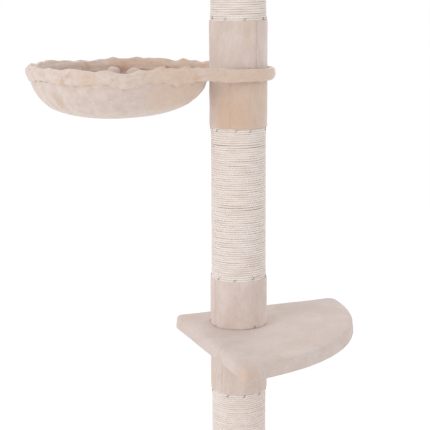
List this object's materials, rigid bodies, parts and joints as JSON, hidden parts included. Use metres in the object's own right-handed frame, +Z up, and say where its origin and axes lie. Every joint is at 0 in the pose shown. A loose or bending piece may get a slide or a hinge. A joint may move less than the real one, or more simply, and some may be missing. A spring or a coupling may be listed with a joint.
{
  "type": "cat tree",
  "caption": "Floor-to-ceiling cat tree: rope-wrapped posts on a padded base carry a quarter-round platform and a plush hoop hammock, and a screwed ceiling plate braces them.",
  "frame": {"origin": "on the post's axis at the floor, at the middle of the base's underside", "axes": "+Z up the post, -X towards the hammock, and the platform's corner behind the post so that it points 22.5 degrees from +X towards -Y"},
  "size_m": [0.6285, 0.5066, 2.447],
  "materials": {
    "plush": "short dense pile",
    "sisal": "wound laid rope",
    "cardboard": "spiral-wound paper",
    "board": "raw fibreboard",
    "plug_wood": "raw plywood",
    "steel": "zinc plated",
    "grip_rubber": "fine ribbed"
  },
  "bodies": {
    "stand": {"base_board": "board", "base_cover": "plush", "base_pads": "grip_rubber", "base_washer": "steel", "base_bolt": "steel", "platform_stud": "steel", "hammock_stud": "steel", "post_4_stud": "steel", "post_5_stud": "steel", "tension_washer": "steel", "post_1_tube": "cardboard", "post_1_lower_plug": "plug_wood", "post_1_upper_plug": "plug_wood", "post_1_thread_inserts": "steel", "post_1_lower_collar": "plush", "post_1_rope_wrap": "sisal", "post_1_upper_collar": "plush", "post_2_tube": "cardboard", "post_2_lower_plug": "plug_wood", "post_2_upper_plug": "plug_wood", "post_2_thread_inserts": "steel", "post_2_lower_collar": "plush", "post_2_rope_wrap": "sisal", "post_2_upper_collar": "plush", "post_3_tube": "cardboard", "post_3_lower_plug": "plug_wood", "post_3_upper_plug": "plug_wood", "post_3_thread_inserts": "steel", "post_3_lower_collar": "plush", "post_3_rope_wrap": "sisal", "post_3_upper_collar": "plush", "post_4_tube": "cardboard", "post_4_lower_plug": "plug_wood", "post_4_upper_plug": "plug_wood", "post_4_thread_inserts": "steel", "post_4_lower_collar": "plush", "post_4_rope_wrap": "sisal", "post_4_upper_collar": "plush", "post_5_tube": "cardboard", "post_5_lower_plug": "plug_wood", "post_5_upper_plug": "plug_wood", "post_5_thread_inserts": "steel", "post_5_lower_collar": "plush", "post_5_rope_wrap": "sisal", "post_5_upper_collar": "plush"},
    "platform": {"platform_board": "board", "platform_cover": "plush"},
    "hammock": {"hoop_frame": "steel", "hoop_sleeve": "plush", "hammock_bowl": "plush"},
    "tensioner": {"tension_spindle": "steel", "ceiling_flange": "steel", "ceiling_screws": "steel", "ceiling_board": "board", "ceiling_cover": "plush", "ceiling_pad": "grip_rubber"},
    "tension_nut": {"tension_nut": "steel"}
  },
  "joints": [
    {"name": "platform_turn", "type": "hinge", "parent": "stand", "child": "platform", "pos_m": [0, 0, 0.507], "axis": [0, 0, 1], "continuous": true},
    {"name": "hammock_turn", "type": "hinge", "parent": "stand", "child": "hammock", "pos_m": [0, 0, 0.9875], "axis": [0, 0, 1], "continuous": true},
    {"name": "spindle_rise", "type": "slide", "parent": "stand", "child": "tensioner", "axis": [0, 0, 1], "range_m": [0, 0.16]},
    {"name": "nut_turn", "type": "hinge", "parent": "stand", "child": "tension_nut", "pos_m": [0, 0, 2.39], "axis": [0, 0, 1], "range_deg": [-14401, 0]}
  ],
  "couplings": [
    {"joint": "nut_turn", "follows": "spindle_rise", "rad_per_m": -1570.8}
  ]
}
